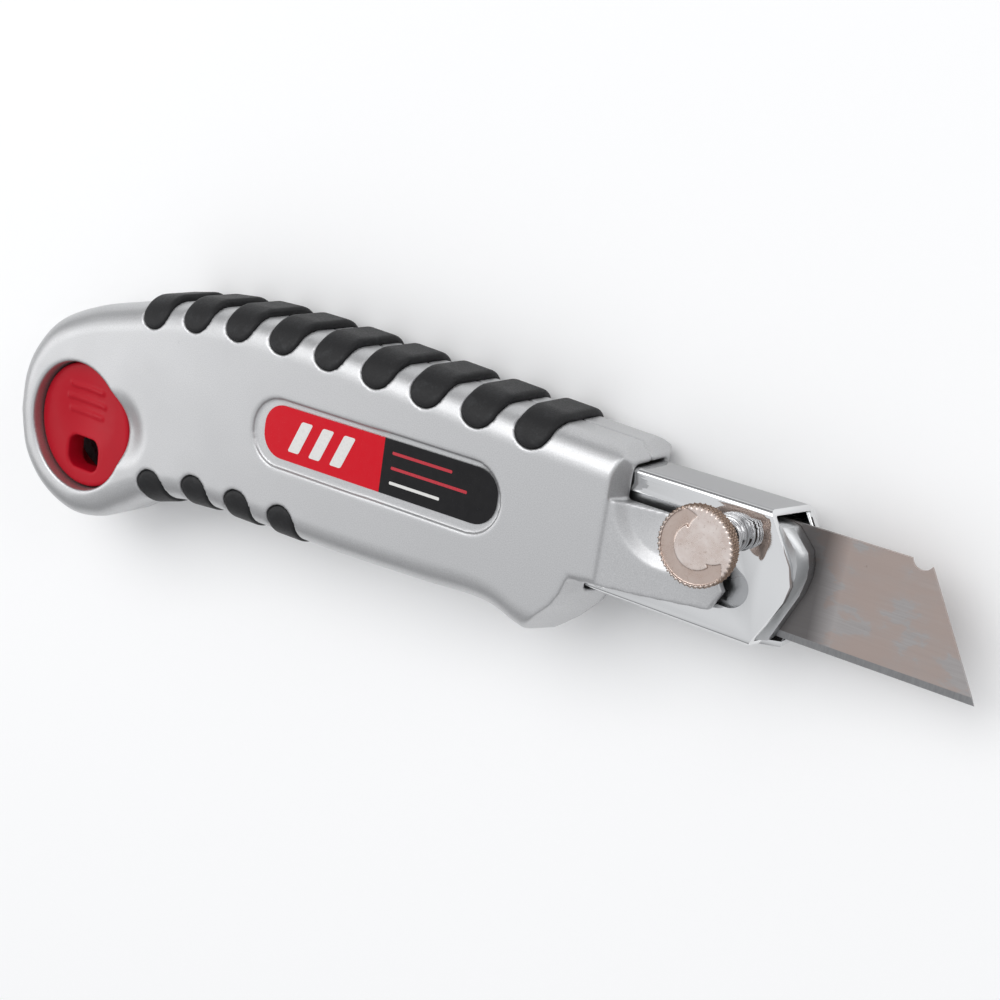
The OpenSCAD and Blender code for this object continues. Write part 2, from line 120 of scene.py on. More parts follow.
def d_poly(x, y, pts):
    """Signed distance to a closed outline, negative inside."""
    pts = np.array(pts, float)
    best = np.full(x.shape, 1e9)
    inside = np.zeros(x.shape, bool)
    for a, b in zip(pts, np.roll(pts, -1, 0)):
        e = b - a
        wx, wy = x - a[0], y - a[1]
        t = np.clip((wx * e[0] + wy * e[1]) / max(e @ e, 1e-12), 0, 1)
        best = np.minimum(best, (wx - e[0] * t) ** 2 + (wy - e[1] * t) ** 2)
        if a[1] != b[1]:
            cross = ((a[1] > y) != (b[1] > y)) & (x < e[0] * (y - a[1]) / e[1] + a[0])
            inside ^= cross
    return np.sqrt(best) * np.where(inside, -1, 1)


def d_rrect(x, y, w, h, r):
    """Signed distance to a w by h rectangle with corners of radius r."""
    qx, qy = np.abs(x) - w / 2 + r, np.abs(y) - h / 2 + r
    return np.hypot(np.maximum(qx, 0), np.maximum(qy, 0)) + np.minimum(np.maximum(qx, qy), 0) - r


def turned(x, y, centre, degrees):
    """x and y seen from axes turned by some degrees about a centre."""
    a = math.radians(degrees)
    dx, dy = x - centre[0], y - centre[1]
    return dx * math.cos(a) + dy * math.sin(a), -dx * math.sin(a) + dy * math.cos(a)


def skin(field, lo, hi, h):
    """Closed quad mesh of where field(x, y, z) is negative, on a grid of pitch h."""
    lo = np.array(lo, float)
    n = np.ceil((np.array(hi) - lo) / h).astype(int) + 1
    x, y, z = np.meshgrid(*[lo[i] + h * np.arange(n[i]) for i in range(3)], indexing="ij",
                          sparse=True)
    f = np.broadcast_to(field(x, y, z), tuple(n)).astype(np.float32)
    f = np.where(f == 0, np.float32(1e-6), f)
    for a in range(3):
        edge = [slice(None)] * 3
        for side in (0, -1):
            edge[a] = side
            f[tuple(edge)] = np.maximum(f[tuple(edge)], 1e-3)
    cells = tuple(n - 1)
    total = np.zeros(cells + (3,), np.float32)
    hits = np.zeros(cells, np.float32)
    for a in range(3):
        b, c = (a + 1) % 3, (a + 2) % 3
        for ob in (0, 1):
            for oc in (0, 1):
                off = [0, 0, 0]
                off[b], off[c] = ob, oc
                one = list(off)
                one[a] = 1
                f0 = f[tuple(slice(o, o + m) for o, m in zip(off, cells))]
                f1 = f[tuple(slice(o, o + m) for o, m in zip(one, cells))]
                hit = (f0 < 0) != (f1 < 0)
                t = np.where(hit, f0 / np.where(hit, f0 - f1, 1), 0)
                for k in range(3):
                    total[..., k] += np.where(hit, t if k == a else off[k], 0)
                hits += hit
    live = hits > 0
    index = np.full(cells, -1, np.int64)
    index[live] = np.arange(live.sum())
    verts = lo + h * (np.argwhere(live) + total[live] / hits[live][:, None])
    quads = []
    for a in range(3):
        b, c = (a + 1) % 3, (a + 2) % 3
        first, second = [slice(None)] * 3, [slice(None)] * 3
        first[a], second[a] = slice(0, -1), slice(1, None)
        f0, f1 = f[tuple(first)], f[tuple(second)]
        at = np.argwhere((f0 < 0) != (f1 < 0))
        at = at[(at[:, b] > 0) & (at[:, c] > 0) & (at[:, b] < n[b] - 1) & (at[:, c] < n[c] - 1)]
        step_b, step_c = np.eye(3, dtype=int)[b], np.eye(3, dtype=int)[c]
        ring = [at - step_b - step_c, at - step_c, at, at - step_b]
        q = np.stack([index[tuple(r.T)] for r in ring], 1)
        out = f0[tuple(at.T)] < 0
        q[~out] = q[~out][:, ::-1]
        quads.append(q)
    return verts, np.vstack(quads)


# ---------------------------------------------------------------- making pieces


def piece(name, verts, faces, body, replaces, material, smooth=True):
    """A new object from vertices in layout millimetres, riding on a body."""
    mesh = bpy.data.meshes.new(name)
    pts = np.asarray(verts, float) * 0.001 + SHIFT
    mesh.from_pydata(pts.tolist(), [], [list(map(int, f)) for f in faces])
    mesh.update()
    if smooth:
        mesh.polygons.foreach_set("use_smooth", [True] * len(mesh.polygons))
    obj = bpy.data.objects.new(name, mesh)
    bpy.context.scene.collection.objects.link(obj)
    mesh.materials.append(material)
    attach(obj, body)
    if replaces:
        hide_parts(*replaces)
    return obj


def softened(node, body, width, material):
    """A copy of a CAD node with its triangles merged back into faces and its edges bevelled."""
    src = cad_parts[node]
    mesh = src.data.copy()
    mesh.materials.clear()
    mesh.materials.append(material)
    bm = bmesh.new()
    bm.from_mesh(mesh)
    bmesh.ops.remove_doubles(bm, verts=bm.verts, dist=2e-6)
    bmesh.ops.dissolve_limit(bm, angle_limit=math.radians(0.6), verts=bm.verts, edges=bm.edges)
    for f in bm.faces:
        f.smooth = True
    bm.to_mesh(mesh)
    bm.free()
    obj = bpy.data.objects.new(node + "_shown", mesh)
    bpy.context.scene.collection.objects.link(obj)
    bevel = obj.modifiers.new("bevel", "BEVEL")
    bevel.width = width * 0.001
    bevel.segments = 2
    bevel.limit_method = "ANGLE"
    bevel.angle_limit = math.radians(30)
    bevel.harden_normals = True
    bevel.use_clamp_overlap = True
    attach(obj, body)
    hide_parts(node)


# ---------------------------------------------------------------- materials


class Nodes:
    """Short spellings for building one material."""

    def __init__(self, name):
        self.mat = bpy.data.materials.new(name)
        self.mat.use_nodes = True
        self.tree = self.mat.node_tree
        self.tree.nodes.clear()
        self.out = self.add("ShaderNodeOutputMaterial")
        self.bsdf = self.add("ShaderNodeBsdfPrincipled")
        self.link(self.bsdf.outputs[0], self.out.inputs[0])
        self.where = self.add("ShaderNodeTexCoord").outputs["Object"]

    def add(self, kind, **props):
        node = self.tree.nodes.new(kind)
        for k, v in props.items():
            setattr(node, k, v)
        return node

    def link(self, a, b):
        self.tree.links.new(a, b)

    def stretch(self, x, y, z):
        """Object coordinates scaled along each axis."""
        node = self.add("ShaderNodeMapping")
        node.inputs["Scale"].default_value = (x, y, z)
        self.link(self.where, node.inputs["Vector"])
        return node.outputs[0]

    def noise(self, scale, detail=4, rough=0.5, at=None):
        node = self.add("ShaderNodeTexNoise")
        node.inputs["Scale"].default_value = scale
        node.inputs["Detail"].default_value = detail
        node.inputs["Roughness"].default_value = rough
        self.link(at or self.where, node.inputs["Vector"])
        return node.outputs["Fac"]

    def ramp(self, fac, stops):
        """A grey ramp through stops, each a place and a level."""
        node = self.add("ShaderNodeValToRGB")
        cr = node.color_ramp
        while len(cr.elements) > len(stops):
            cr.elements.remove(cr.elements[-1])
        while len(cr.elements) < len(stops):
            cr.elements.new(0.5)
        for e, (p, c) in zip(cr.elements, stops):
            e.position = p
            e.color = (c, c, c, 1)
        self.link(fac, node.inputs[0])
        return node.outputs[0]

    def math(self, op, a, b=0.0, c=0.0):
        node = self.add("ShaderNodeMath", operation=op)
        for i, v in enumerate((a, b, c)):
            if isinstance(v, (int, float)):
                node.inputs[i].default_value = v
            else:
                self.link(v, node.inputs[i])
        return node.outputs[0]

    def mix(self, fac, a, b):
        """Colour a turning into colour b as fac goes from 0 to 1."""
        node = self.add("ShaderNodeMix", data_type="RGBA")
        for socket, v in ((node.inputs[0], fac), (node.inputs[6], a), (node.inputs[7], b)):
            if isinstance(v, tuple):
                socket.default_value = (*v, 1)
            else:
                self.link(v, socket)
        return node.outputs[2]

    def axes(self):
        """Object x, y and z in metres."""
        node = self.add("ShaderNodeSeparateXYZ")
        self.link(self.where, node.inputs[0])
        return node.outputs

    def bump(self, height, strength, distance):
        node = self.add("ShaderNodeBump")
        node.inputs["Strength"].default_value = strength
        node.inputs["Distance"].default_value = distance
        self.link(height, node.inputs["Height"])
        self.link(node.outputs[0], self.bsdf.inputs["Normal"])

    def set(self, **values):
        """Sets or links the shader's inputs; an underscore stands for a space in a name."""
        for k, v in values.items():
            socket = self.bsdf.inputs[k.replace("_", " ")]
            if isinstance(v, (int, float)):
                socket.default_value = v
            else:
                self.link(v, socket)

    def specular(self, level):
        self.bsdf.inputs["Specular IOR Level"].default_value = level


def silver_paint():
    """Metallic paint with fine flake and a few nicks."""
    n = Nodes("silver_paint")
    fine = n.noise(5200, 2)
    cloud = n.noise(60, 4)
    flake = n.ramp(fine, [(0.35, 0.0), (0.65, 1.0)])
    colour = n.mix(flake, (0.52, 0.522, 0.528), (0.62, 0.622, 0.628))
    colour = n.mix(n.ramp(cloud, [(0.3, 0.0), (0.8, 0.3)]), colour, (0.49, 0.492, 0.498))
    nick = n.ramp(n.noise(260, 6, 0.65), [(0.73, 0.0), (0.77, 1.0)])
    colour = n.mix(n.math("MULTIPLY", nick, 0.35), colour, (0.34, 0.34, 0.35))
    n.set(Base_Color=colour, Metallic=0.9, Roughness=n.ramp(cloud, [(0.2, 0.38), (0.8, 0.46)]))
    n.bump(fine, 0.14, 0.00006)
    return n.mat


def rubber():
    """Matt black rubber with fine grain and a little dust."""
    n = Nodes("grip_rubber")
    grain = n.noise(3000, 5, 0.6)
    dust = n.ramp(n.noise(420, 6, 0.7), [(0.52, 0.0), (0.78, 1.0)])
    colour = n.mix(dust, (0.010, 0.010, 0.011), (0.028, 0.029, 0.031))
    n.set(Base_Color=colour, Roughness=n.ramp(grain, [(0.3, 0.46), (0.7, 0.62)]))
    n.specular(0.3)
    n.bump(grain, 0.35, 0.00008)
    return n.mat


def red_plastic():
    n = Nodes("red_plastic")
    grain = n.noise(2600, 4)
    colour = n.mix(n.noise(90, 3), (0.38, 0.003, 0.012), (0.48, 0.004, 0.017))
    n.set(Base_Color=colour, Roughness=n.ramp(grain, [(0.3, 0.34), (0.7, 0.46)]))
    n.specular(0.15)
    n.bump(grain, 0.12, 0.00006)
    return n.mat


def chrome():
    """Bright nickel-chrome plate, with painted shade on its narrow top and bottom walls: they are
    a darker grey where the surface faces along y.
    """
    n = Nodes("chrome")
    draw = n.noise(700, 2, at=n.stretch(0.05, 1, 1))
    smear = n.noise(70, 4)
    facing = n.add("ShaderNodeSeparateXYZ")
    n.link(n.add("ShaderNodeNewGeometry").outputs["Normal"], facing.inputs[0])
    # painted shade: walls whose normal points up or down along y get a darker grey
    edge = n.ramp(n.math("ABSOLUTE", facing.outputs[1]), [(0.75, 0.0), (0.95, 1.0)])
    colour = n.mix(smear, (0.76, 0.765, 0.77), (0.84, 0.845, 0.85))
    colour = n.mix(edge, colour, (0.40, 0.402, 0.408))
    n.set(Base_Color=colour, Metallic=1.0, Roughness=n.ramp(smear, [(0.3, 0.03), (0.75, 0.09)]))
    n.bump(draw, 0.03, 0.00004)
    return n.mat


def cast_zinc():
    """Die-cast zinc with a slightly rough skin."""
    n = Nodes("cast_zinc")
    grain = n.noise(2400, 6, 0.6)
    cloud = n.noise(150, 3)
    colour = n.mix(cloud, (0.42, 0.43, 0.44), (0.56, 0.565, 0.57))
    n.set(Base_Color=colour, Metallic=1.0, Roughness=n.ramp(cloud, [(0.3, 0.26), (0.8, 0.38)]))
    n.bump(grain, 0.22, 0.00008)
    return n.mat


def blade_metal():
    """Ground steel: fine scratches, warm tarnish in sharp-edged patches, a ground bevel."""
    n = Nodes("blade_steel")
    x, y, _ = n.axes()
    streak = n.noise(3800, 2, 0.5, n.stretch(0.03, 1, 1))
    patch = n.noise(95, 8, 0.62, n.stretch(0.8, 1.2, 1))
    spots = n.noise(620, 5, 0.7)
    scratch = n.ramp(streak, [(0.25, 0.0), (0.75, 1.0)])
    grey = n.mix(scratch, (0.375, 0.352, 0.347), (0.43, 0.41, 0.405))
    # more tarnish toward the tip
    tip = n.math("MULTIPLY_ADD", x, 9.0, 0.5 - 9.0 * (float(blade_hi.x) - 0.021))
    where = n.math("ADD", patch, n.math("MULTIPLY", n.math("MINIMUM", tip, 0.75), 0.28))
    tarnish = n.ramp(where, [(0.60, 0.0), (0.63, 0.55), (0.72, 0.75)])
    warm = n.mix(tarnish, grey, (0.44, 0.345, 0.305))
    colour = n.mix(n.ramp(spots, [(0.70, 0.0), (0.75, 0.7)]), warm, (0.15, 0.12, 0.11))
    # painted shadow where the blade leaves the nose, darkening it toward the guide
    painted_mouth_shadow = n.math("MULTIPLY_ADD", x, -260.0, 260.0 * (float(blade_hi.x) - 0.0235))
    colour = n.mix(n.ramp(painted_mouth_shadow, [(0.0, 0.0), (1.0, 0.72)]), colour, (0.055, 0.052, 0.052))
    # the ground bevel along the cutting edge, 1.25 mm high
    across = n.noise(2600, 3, 0.6, n.stretch(1, 0.04, 1))
    ground = n.mix(across, (0.22, 0.22, 0.225), (0.38, 0.38, 0.385))
    colour = n.mix(n.math("LESS_THAN", y, float(blade_lo.y) + 0.00125), colour, ground)
    n.set(Base_Color=colour, Metallic=0.85,
          Roughness=n.ramp(streak, [(0.25, 0.30), (0.75, 0.42)]))
    n.bump(streak, 0.05, 0.00003)
    return n.mat


def plain_steel(name, dark, light, rough, rub=0.12):
    """Steel between two greys; rub is the strength of its fine bump."""
    n = Nodes(name)
    grain = n.noise(1800, 5, 0.6)
    colour = n.mix(n.noise(260, 4), dark, light)
    n.set(Base_Color=colour, Metallic=1.0,
          Roughness=n.ramp(grain, [(0.3, rough), (0.7, rough + 0.12)]))
    n.bump(grain, rub, 0.00005)
    return n.mat


def tarnished():
    """Worn nickel over copper: brown in the knurls and low places, bright on top."""
    n = Nodes("tarnished_nickel")
    cloud = n.noise(330, 6, 0.65)
    spots = n.noise(1500, 5, 0.7)
    x, y, z = n.axes()
    cx, cy = float(SHIFT[0] + SCREW[0] / 1000), float(SHIFT[1] + SCREW[1] / 1000)
    dx, dy = n.math("SUBTRACT", x, cx), n.math("SUBTRACT", y, cy)
    r = n.math("SQRT", n.math("ADD", n.math("MULTIPLY", dx, dx), n.math("MULTIPLY", dy, dy)))
    # dark beyond 6 mm from the axis, where the knurls are
    side = n.ramp(n.math("MULTIPLY", r, 100.0), [(0.585, 0.0), (0.635, 0.85)])
    floor = float(SHIFT[2] + (KNOB_BACK + BAND_FLOOR) / 1000)
    above = n.math("MULTIPLY", n.math("SUBTRACT", z, floor), 1000.0)
    sunk = n.ramp(above, [(0.08, 0.55), (0.30, 0.0)])
    worn = n.ramp(cloud, [(0.32, 0.0), (0.68, 1.0)])
    colour = n.mix(worn, (0.70, 0.585, 0.53), (0.84, 0.76, 0.72))
    colour = n.mix(n.ramp(spots, [(0.58, 0.0), (0.72, 0.6)]), colour, (0.30, 0.19, 0.13))
    colour = n.mix(sunk, colour, (0.42, 0.30, 0.24))
    colour = n.mix(side, colour, (0.17, 0.105, 0.065))
    n.set(Base_Color=colour, Metallic=0.95, Roughness=n.ramp(cloud, [(0.3, 0.22), (0.75, 0.36)]))
    n.bump(spots, 0.22, 0.00007)
    return n.mat


def sticker_film():
    """Glossy print: red at the tail end, black at the nose end."""
    n = Nodes("sticker")
    lo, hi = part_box("label_sticker")
    x, _, _ = n.axes()
    split = lo.x + (hi.x - lo.x) * 0.53
    black = n.math("GREATER_THAN", x, float(split))
    grain = n.noise(3200, 3)
    colour = n.mix(black, (0.60, 0.004, 0.015), (0.010, 0.010, 0.011))
    colour = n.mix(n.math("MULTIPLY", n.noise(700, 5), 0.03), colour, (0.30, 0.28, 0.28))
    n.set(Base_Color=colour, Roughness=n.ramp(grain, [(0.3, 0.20), (0.7, 0.28)]))
    n.specular(0.14)
    n.bump(grain, 0.05, 0.00004)
    return n.mat


def print_ink(name, colour, dark):
    """Printed ink between two shades of one colour."""
    n = Nodes(name)
    shade = n.mix(n.noise(2500, 4), dark, colour)
    n.set(Base_Color=shade, Roughness=n.ramp(n.noise(900, 3), [(0.3, 0.24), (0.7, 0.32)]))
    return n.mat


M = {
    "silver": silver_paint(), "rubber": rubber(), "red": red_plastic(), "chrome": chrome(),
    "zinc": cast_zinc(), "blade": blade_metal(), "nickel": tarnished(), "film": sticker_film(),
    "plate": plain_steel("plate_steel", (0.42, 0.43, 0.44), (0.56, 0.57, 0.58), 0.30),
    "screw": plain_steel("screw_steel", (0.44, 0.44, 0.45), (0.60, 0.60, 0.61), 0.24),
    "thread": plain_steel("screw_thread", (0.07, 0.06, 0.055), (0.14, 0.125, 0.11), 0.34),
    "spring": plain_steel("spring_steel", (0.60, 0.60, 0.61), (0.74, 0.74, 0.75), 0.10, 0.02),
    "white": print_ink("ink_white", (0.78, 0.77, 0.75), (0.66, 0.65, 0.63)),
    "ink_red": print_ink("ink_red", (0.52, 0.02, 0.04), (0.42, 0.02, 0.03)),
}

# ---------------------------------------------------------------- handle halves


def body_field(x, y, z):
    """Handle blank: flat sides and walls with a rounded edge between them."""
    q = np.maximum(d_poly(*np.broadcast_arrays(x, y), OUTLINE) + EDGE_R, 0)
    w = np.maximum(np.abs(z) - (HALF_T - EDGE_R), 0)
    return np.hypot(q, w) - EDGE_R


# Rubber pads bent over the spine (side 1) and the belly (side -1). Each has a lobe with a round
# end on both sides of the handle, reaching drop below the edge line and leaning by some degrees.
SPINE_PADS = dict(keys=SPINE, side=1, first=-165.4, pitch=11.03, count=9, width=7.0, proud=1.4,
                  drop=5.1, lean=-6)
BELLY_PADS = dict(keys=BELLY, side=-1, first=-161.5, pitch=11.1, count=4, width=7.0, proud=0.85,
                  drop=6.4, lean=0)
# How far the pads reach into the handle, and what their pockets leave round them
PAD_SINK = 1.2
PAD_GAP = 0.04


def pads_field(keys, side, first, pitch, count, width, proud, drop, lean, gap=0.0):
    """A row of pads, or with a gap the space of their pockets, which is open outward."""
    # reach of the blocks that bound a pad outside and inside, beyond the handle's middle
    deep = 16
    spots = []
    for i in range(count):
        cx = first + i * pitch
        slope = math.atan2(curve_y(keys, cx + 2) - curve_y(keys, cx - 2), 4)
        spots.append((cx, curve_y(keys, cx), slope))

    def field(x, y, z):
        out = None
        for cx, cy, slope in spots:
            dx, dy = x - cx, y - cy
            u = dx * math.cos(slope) + dy * math.sin(slope)
            w = -dx * math.sin(slope) + dy * math.cos(slope)
            a = math.radians(lean)
            us, ws = u * math.cos(a) + w * math.sin(a), -u * math.sin(a) + w * math.cos(a)
            past = np.maximum(side * (side * (width / 2 - drop) - ws), 0)
            lobe = np.hypot(us, past) - width / 2 - gap
            if gap:
                pad = lobe
            else:
                outer = d_rrect(w - side * (proud - deep), z, 2 * deep, 2 * HALF_T - 0.1, 6.4)
                pad = smax(lobe, outer, 0.9)
            inner = d_rrect(w + side * (PAD_SINK + gap + deep), z, 2 * deep,
                            2 * (HALF_T - PAD_SINK - gap), 4.3)
            pad = smax(pad, -inner, 0.2)
            out = pad if out is None else np.minimum(out, pad)
        return out

    return field


def pad_pockets(f, x, y, z):
    """Cuts the pads' pockets, a little wider than the pads, out of a handle half."""
    near = ((SPINE_PADS, (-171, 6), (-71, 30)), (BELLY_PADS, (-168, -40), (-122, -8)))
    for spec, lo, hi in near:
        i = np.flatnonzero((x.ravel() > lo[0]) & (x.ravel() < hi[0]))
        j = np.flatnonzero((y.ravel() > lo[1]) & (y.ravel() < hi[1]))
        part = (slice(i[0], i[-1] + 1), slice(j[0], j[-1] + 1))
        cut = pads_field(**spec, gap=PAD_GAP)(x[part[0]], y[:, part[1]], z)
        f[part] = smax(f[part], -cut, 0.15)
    return f


# Outlines of what is cut away in front of the handle, of the same for its leaning sides, and of
# the arm beside the sleeve
FRONT = [(-64.4, 30), (-63.4, 16.4), (-59.4, 12.5), (-59.4, -9), (-62.3, -9.5), (-62.8, -12),
         (-64.1, -14.4), (-67.8, -18.4), (-72.4, -22.2), (-74.0, -34), (-20, -34), (-20, 30)]
LEANING = [(0, 30), (0, -7.6), (-4.4, -8.2), (-5.5, -12), (-6.7, -14.4), (-10.1, -18.4),
           (-14.3, -22.2), (-15, -34), (40, -34), (40, 30)]
TONGUE = [(-74, -8.9), (-66, -8.8), (-61.7, -8.5), (-53.3, -7.9), (-41.5, -6.7), (-39.8, -3.2),
          (-40.8, -1.6), (-50.6, 6.3), (-74, 6.3)]


def front_field(x, y, z):
    """What lies in front of the handle: flat across the middle, leaning back to each side."""
    lean = math.radians(24)
    u = (x + 61.2) * math.cos(lean) + (np.abs(z) - HALF_T) * math.sin(lean)
    flat = d_poly(*np.broadcast_arrays(x, y), FRONT)
    return np.minimum(flat, d_poly(*np.broadcast_arrays(u, y), LEANING))


def channel_field(x, y, z):
    """Channel the sleeve and the magazine slide in."""
    return smax(d_rrect(y - 0.25, z, 23.0, 10.94, 1.3), -x - 138.6, 0.2)


def lever_room(x, y, z):
    """Room in both halves for the latch lever's swing."""
    plan = np.maximum(np.abs(x + 156.05) - 18.55, np.abs(y + 6.2) - 3.4)
    return np.maximum(plan, np.abs(z + 1.5) - 4.7)


def shell_field(x, y, z):
    """The blank with its pads' pockets and its front cut away."""
    f = pad_pockets(body_field(x, y, z), x, y, z)
    return smax(f, -front_field(x, y, z), 0.4)


def hollowed(f, x, y, z):
    """Cuts the channel and the lever's room out of a handle half."""
    f = smax(f, -channel_field(x, y, z), 0.35)
    return smax(f, -lever_room(x, y, z), 0.2)


def left_field(x, y, z):
    f = shell_field(x, y, z)
    # label recess, button pocket and fingertip scoop
    lx, ly = turned(x, y, LABEL, LABEL_TURN)
    recess = smax(d_rrect(lx, ly, 56.0, 12.9, 6.4), HALF_T - RECESS_DEPTH - z, 0.2)
    f = smax(f, -recess, 0.35)
    pocket = np.hypot(x - BUTTON[0], y - BUTTON[1]) - 13.1
    f = smax(f, -pocket, 0.6)
    scoop = np.sqrt((x + 172) ** 2 + (y + 11.4) ** 2 + (z - HALF_T - 9.9) ** 2) - 11.7
    f = hollowed(smax(f, -scoop, 1.3), x, y, z)
    # arm beside the sleeve, its outer face leaning in toward the tip
    arm = d_poly(*np.broadcast_arrays(x, y), TONGUE)
    lean = math.radians(6.2)
    top = (z - HALF_T) * math.cos(lean) + (x + 66) * math.sin(lean)
    arm = smax(arm, top, 0.4)
    arm = smax(arm, z - HALF_T + 0.4, 0.3)
    # dish for the knob, steep at its rim and shallow inside it
    inward = np.maximum(9.9 - np.hypot(x + 50.3, y - 7.4), 0)
    hollow = 0.55 * np.minimum(inward, 1.8) + 0.16 * np.maximum(inward - 1.8, 0)
    arm = np.maximum(arm, (top + hollow) * 0.9)
    # slot for the screw and its spring, open toward the tip
    slot = np.hypot(np.minimum(x - SCREW[0] + 5.5, 0), y - SCREW[1]) - 3.3
    arm = smax(arm, -slot, 0.4)
    arm = smax(arm, 5.47 - z, 0.3)
    f = smin(f, arm, 0.5)
    return smax(f, 0.02 - z, 0.45)


def right_field(x, y, z):
    f = hollowed(shell_field(x, y, z), x, y, z)
    # button well, cord opening and the screws' holes and head pockets
    well = smax(np.hypot(x - BUTTON[0], y - BUTTON[1]) - 14.5, -5 - z, 0.3)
    f = smax(f, -well, 0.3)
    f = smax(f, -d_rrect(x - EYELET[0], y - EYELET[1], 9.3, 7.4, 2.2), 0.9)
    for p in SCREWS:
        r = np.hypot(x - p[0], y - p[1])
        f = smax(f, -smax(r - 3.0, z + 5.5, 0.15), 0.7)
        f = smax(f, -(r - 1.65), 0.2)
    return smax(f, 0.02 + z, 0.45)


# Grid pitches for the handle and for smaller pieces
PITCH = 0.36
FINE = 0.3
KNOB_PITCH = 0.13

v, q = skin(left_field, (-206.2, -35.2, -0.6), (-38.0, 20.4, HALF_T + 0.8), PITCH)
piece("handle_left_half", v, q, "handle", ["left_housing"], M["silver"])
v, q = skin(right_field, (-206.2, -35.2, -HALF_T - 0.8), (-59.0, 20.4, 0.6), PITCH)
piece("handle_right_half", v, q, "handle", ["right_housing"], M["silver"])

# ---------------------------------------------------------------- rubber pads

v, q = skin(pads_field(**SPINE_PADS), (-171, 0, -HALF_T - 0.4), (-71.5, 21, HALF_T + 0.4), FINE)
piece("spine_pads", v, q, "handle", ["spine_grips"], M["rubber"])
v, q = skin(pads_field(**BELLY_PADS), (-168, -28, -HALF_T - 0.4), (-123, -9, HALF_T + 0.4), FINE)
piece("belly_pads", v, q, "handle", ["belly_grips"], M["rubber"])

# ---------------------------------------------------------------- button


def button_field(x, y, z):
    top = HALF_T - 2.3
    dx, dy = x - BUTTON[0], y - BUTTON[1]
    r = np.hypot(dx, dy)
    f = smax(smin(r - 12.8, smax(r - 14.2, z - 3, 0.2), 0.2), z - top, 0.7)
    # shallow thumb dish, part of a large ball
    ball_r, ball_up = 34.2, 33.4
    dish = np.sqrt(dx * dx + (dy - 3) ** 2 + (z - top - ball_up) ** 2) - ball_r
    f = smax(f, -dish, 0.5)
    # three raised grip bars across the face
    floor = top + ball_up - np.sqrt(np.maximum(ball_r ** 2 - dx * dx - (dy - 3) ** 2, 1))
    floor = np.minimum(floor, top)
    for i in (-1, 0, 1):
        bar = d_rrect(dx, dy - 5.0 - 2.6 * i, 11.5 - 1.6 * abs(i), 1.0, 0.5)
        f = smin(f, smax(bar, np.abs(z - floor) - 0.28, 0.3), 0.25)
    # hollow underside, spring post and the wall round the cord opening
    f = smax(f, -smax(r - 11.2, z - (top - 2.2), 0.3), 0.3)
    post = smax(np.hypot(dx, dy - 4.6) - 2.2, np.maximum(0.8 - z, z - top + 1), 0.2)
    f = smin(f, post, 0.3)
    ex, ey = x - EYELET[0], y - EYELET[1]
    wall = smax(d_rrect(ex, ey, 10.6, 8.6, 2.8), np.maximum(top - 4.4 - z, z - top + 1), 0.2)
    f = smin(f, wall, 0.3)
    f = smax(f, -d_rrect(ex, ey, 8.6, 6.6, 2.2), 0.5)
    return smax(f, -z, 0.3)


v, q = skin(button_field, (-198.9, -28.9, -0.6), (-169.1, 0.9, HALF_T - 1.6), FINE)
piece("tail_button", v, q, "button", ["release_button"], M["red"])

# ---------------------------------------------------------------- lock knob


KNURLS = 44


def knob_field(x, y, z):
    """Disc with a crossed knurl round it and a plain band sunk in its face."""
    dx, dy = x - SCREW[0], y - SCREW[1]
    r, a = np.hypot(dx, dy), np.arctan2(dy, dx)
    h = z - KNOB_BACK
    slant = h * 0.16
    left = np.abs((((a + slant) * KNURLS / (2 * math.pi)) % 1) - 0.5) * 2
    right = np.abs((((a - slant) * KNURLS / (2 * math.pi)) % 1) - 0.5) * 2
    thick = np.abs(h - KNOB_HEIGHT / 2) - KNOB_HEIGHT / 2
    f = smax(r - 6.6 + 0.36 * (2 - left - right), thick, 0.35)
    # sunk band round part of the face, with an arrow head at each end
    along = (a - math.radians(124)) % (2 * math.pi)
    span = math.radians(194)
    off = np.where(along > (2 * math.pi + span) / 2, along - 2 * math.pi, along) * 4.7
    over = np.maximum(-off, off - span * 4.7)
    half = np.where(over < 0, 1.15, 1.75 - 0.8 * over)
    band = np.maximum(np.abs(r - 4.75) - half, over - 2.1) * 0.8
    f = smax(f, -smax(band, BAND_FLOOR - h, 0.1), 0.16)
    # hole for the lock screw, blind from the back
    return smax(f, -smax(r - 1.55, h - 1.3, 0.1), 0.1)


v, q = skin(knob_field, (SCREW[0] - 7.2, SCREW[1] - 7.2, KNOB_BACK - 0.5),
            (SCREW[0] + 7.2, SCREW[1] + 7.2, KNOB_BACK + 3.0), KNOB_PITCH)
piece("knurled_knob", v, q, "knob", ["lock_knob"], M["nickel"])

# ---------------------------------------------------------------- springs


def spring(name, node, body, centre, r, wire, z0, z1, turns):
    """Round wire with closed ends, swept round its centreline.
    """
    n, ring = int(turns * 40), 12
    s = np.linspace(0, turns, n)
    # nearly flat for the first and last part of a turn
    end = 0.7
    rise = np.clip((s - end) / (turns - 2 * end), 0, 1)
    ends = 0.05 * np.minimum(s, end) / end + 0.05 * np.clip((s - turns + end) / end, 0, 1)
    z = z0 + wire / 2 + (z1 - z0 - wire) * (ends + 0.9 * rise)
    a = 2 * math.pi * s
    b = np.linspace(0, 2 * math.pi, ring, endpoint=False)
    rad = r + wire / 2 * np.cos(b)[None, :]
    pts = np.stack([centre[0] + rad * np.cos(a)[:, None], centre[1] + rad * np.sin(a)[:, None],
                    z[:, None] + wire / 2 * np.sin(b)[None, :]], -1).reshape(-1, 3)
    faces = [((i + 1) * ring + j, (i + 1) * ring + (j + 1) % ring, i * ring + (j + 1) % ring,
              i * ring + j) for i in range(n - 1) for j in range(ring)]
    faces += [tuple(range(ring)), tuple(range(n * ring - 1, (n - 1) * ring - 1, -1))]
    obj = piece(name, pts, faces, body, [node], M["spring"])
    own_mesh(obj)


